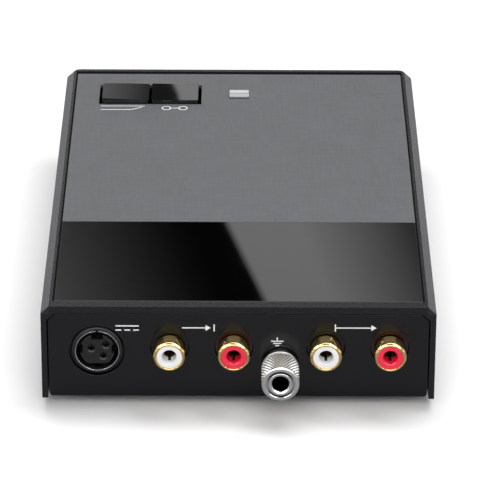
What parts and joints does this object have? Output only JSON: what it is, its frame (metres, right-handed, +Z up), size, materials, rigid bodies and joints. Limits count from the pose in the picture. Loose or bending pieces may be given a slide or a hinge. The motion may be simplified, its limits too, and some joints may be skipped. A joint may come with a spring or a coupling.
{
  "type": "phono preamp",
  "caption": "Shallow metal-cased phono preamp with push keys, an indicator window, phono sockets, a power socket and a screw-down ground terminal.",
  "frame": {"origin": "centre of the whole outline seen from above, ground terminal included, in the plane of the feet's undersides", "axes": "-Y points out of the socket panel, +Y towards the end with the keys and the light, +X to the right when the sockets face the viewer, +Z up out of the top plates"},
  "size_m": [0.1016, 0.1652, 0.0315],
  "materials": {
    "cover_coat": "fine grained satin charcoal",
    "chassis_coat": "satin black",
    "matte_plate": "matt grey with a fine woven grain",
    "gloss_plate": "polished black",
    "key_black": "polished black",
    "foot_rubber": "matt",
    "screw_steel": "zinc plated",
    "board_green": "solder mask",
    "moulding_black": "satin",
    "shell_nickel": "bright nickel",
    "core_black": "satin",
    "contact_gilt": "gilt",
    "jack_white": "glossy",
    "jack_red": "glossy",
    "barrel_gilt": "bright gilt",
    "terminal_nickel": "nickel plated",
    "nickel_small": "plain",
    "wire_green": "soft insulation",
    "plunger_white": "plain",
    "switch_grey": "plain",
    "spring_steel": "plain",
    "light_clear": "frosted",
    "led_resin": "clear resin",
    "bank_red": "plain",
    "slider_white": "plain",
    "regulator": "moulded, with a tin tab",
    "can_sleeve": "printed sleeve",
    "film_case": "plain",
    "chip_black": "plain",
    "resistor_blue": "lacquered"
  },
  "bodies": {
    "case": {"top_cover": "cover_coat", "chassis": "chassis_coat", "matte_plate": "matte_plate", "gloss_plate": "gloss_plate", "case_screws": "screw_steel", "foot_socket_left": "foot_rubber", "foot_socket_right": "foot_rubber", "foot_control_left": "foot_rubber", "foot_control_right": "foot_rubber", "main_board": "board_green", "board_spacers": "screw_steel", "board_screws": "screw_steel", "power_socket_body": "moulding_black", "power_socket_shell": "shell_nickel", "power_socket_core": "core_black", "power_socket_contacts": "contact_gilt", "input_left_body": "jack_white", "input_left_barrel": "barrel_gilt", "input_left_contact": "contact_gilt", "input_right_body": "jack_red", "input_right_barrel": "barrel_gilt", "input_right_contact": "contact_gilt", "output_left_body": "jack_white", "output_left_barrel": "barrel_gilt", "output_left_contact": "contact_gilt", "output_right_body": "jack_red", "output_right_barrel": "barrel_gilt", "output_right_contact": "contact_gilt", "ground_post": "terminal_nickel", "ground_hex_nut": "nickel_small", "ground_lock_washer": "nickel_small", "ground_tag": "nickel_small", "ground_wire": "wire_green", "filter_switch": "switch_grey", "filter_spring": "spring_steel", "mono_switch": "switch_grey", "mono_spring": "spring_steel", "light_pipe": "light_clear", "indicator_led": "led_resin", "loading_switch_bank": "bank_red", "gain_switch_bank": "bank_red", "voltage_regulators": "regulator", "electrolytic_capacitors": "can_sleeve", "film_capacitors": "film_case", "op_amps": "chip_black", "resistors": "resistor_blue"},
    "filter_button": {"filter_key": "key_black", "filter_plunger": "plunger_white"},
    "mono_button": {"mono_key": "key_black", "mono_plunger": "plunger_white"},
    "clamp_washer": {"ground_washer": "terminal_nickel"},
    "clamp_nut": {"ground_nut": "terminal_nickel"},
    "loading_slider_1": {"loading_slider_1": "slider_white"},
    "loading_slider_2": {"loading_slider_2": "slider_white"},
    "loading_slider_3": {"loading_slider_3": "slider_white"},
    "loading_slider_4": {"loading_slider_4": "slider_white"},
    "gain_slider_1": {"gain_slider_1": "slider_white"},
    "gain_slider_2": {"gain_slider_2": "slider_white"},
    "gain_slider_3": {"gain_slider_3": "slider_white"},
    "gain_slider_4": {"gain_slider_4": "slider_white"}
  },
  "joints": [
    {"name": "filter_button_press", "type": "slide", "parent": "case", "child": "filter_button", "axis": [0, 0, -1], "range_m": [0, 0.002], "stiffness_N_per_m": 350, "springref_m": -0.0015, "deforming": ["filter_spring"]},
    {"name": "mono_button_press", "type": "slide", "parent": "case", "child": "mono_button", "axis": [0, 0, -1], "range_m": [0, 0.002], "stiffness_N_per_m": 350, "springref_m": -0.0015, "deforming": ["mono_spring"]},
    {"name": "clamp_washer_slide", "type": "slide", "parent": "case", "child": "clamp_washer", "axis": [0, -1, 0], "range_m": [0, 0.004]},
    {"name": "clamp_nut_turn", "type": "hinge", "parent": "clamp_washer", "child": "clamp_nut", "pos_m": [0.0108, -0.07825, 0.0128], "axis": [0, -1, 0], "range_deg": [0, 1800]},
    {"name": "loading_slide_1", "type": "slide", "parent": "case", "child": "loading_slider_1", "axis": [0, 1, 0], "range_m": [0, 0.0018]},
    {"name": "loading_slide_2", "type": "slide", "parent": "case", "child": "loading_slider_2", "axis": [0, 1, 0], "range_m": [0, 0.0018]},
    {"name": "loading_slide_3", "type": "slide", "parent": "case", "child": "loading_slider_3", "axis": [0, 1, 0], "range_m": [0, 0.0018]},
    {"name": "loading_slide_4", "type": "slide", "parent": "case", "child": "loading_slider_4", "axis": [0, 1, 0], "range_m": [0, 0.0018]},
    {"name": "gain_slide_1", "type": "slide", "parent": "case", "child": "gain_slider_1", "axis": [0, 1, 0], "range_m": [0, 0.0018]},
    {"name": "gain_slide_2", "type": "slide", "parent": "case", "child": "gain_slider_2", "axis": [0, 1, 0], "range_m": [0, 0.0018]},
    {"name": "gain_slide_3", "type": "slide", "parent": "case", "child": "gain_slider_3", "axis": [0, 1, 0], "range_m": [0, 0.0018]},
    {"name": "gain_slide_4", "type": "slide", "parent": "case", "child": "gain_slider_4", "axis": [0, 1, 0], "range_m": [0, 0.0018]}
  ],
  "couplings": [
    {"joint": "clamp_nut_turn", "follows": "clamp_washer_slide", "rad_per_m": 7854}
  ]
}
